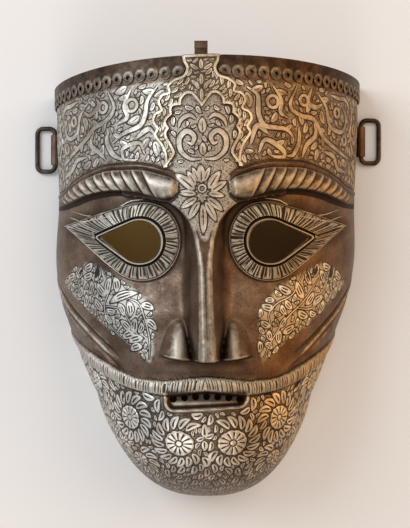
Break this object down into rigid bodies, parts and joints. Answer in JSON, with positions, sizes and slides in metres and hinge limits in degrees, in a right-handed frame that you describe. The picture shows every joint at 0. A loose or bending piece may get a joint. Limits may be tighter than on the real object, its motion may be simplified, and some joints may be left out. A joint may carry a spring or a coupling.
{
  "type": "armour war mask",
  "caption": "Embossed steel face mask with fluted brows, teardrop eye holes, straight nose, moustache, pierced mouth, scalloped rim bands, cusped forehead plaque, top hook and strap loops.",
  "frame": {"origin": "middle of the bounding box in X and Y, in the plane of the rear edge that the mask lies on", "axes": "+Z out of the face, +Y from the chin to the rim of the forehead, +X to the right in the picture"},
  "size_m": [0.1924, 0.2321, 0.1026],
  "materials": {
    "shell_steel": "brown patina, worn silver on the chiselled fields",
    "band_steel": "dark brown patina",
    "plaque_steel": "worn silver with brown patina in the cuts",
    "hook_steel": "dark brown patina",
    "hinge_steel": "dark brown patina",
    "rivet_steel": "dark brown patina",
    "loop_iron": "dark, lightly worn wire"
  },
  "bodies": {
    "mask": {"mask_shell": "shell_steel", "rim_band_left": "band_steel", "rim_band_right": "band_steel", "forehead_plaque": "plaque_steel", "top_hook": "hook_steel", "hook_rivet": "rivet_steel", "loop_hinge_left": "hinge_steel", "loop_hinge_right": "hinge_steel", "hinge_rivet_left_upper": "rivet_steel", "hinge_rivet_left_lower": "rivet_steel", "hinge_rivet_right_upper": "rivet_steel", "hinge_rivet_right_lower": "rivet_steel"},
    "loop_left": {"strap_loop_left": "loop_iron"},
    "loop_right": {"strap_loop_right": "loop_iron"}
  },
  "joints": [
    {"name": "loop_left_hinge", "type": "hinge", "parent": "mask", "child": "loop_left", "pos_m": [-0.08495, 0.0732, 0.0024], "axis": [0, 1, 0], "range_deg": [-102, 103]},
    {"name": "loop_right_hinge", "type": "hinge", "parent": "mask", "child": "loop_right", "pos_m": [0.08495, 0.0778, 0.0024], "axis": [0, -1, 0], "range_deg": [-107, 109]}
  ]
}
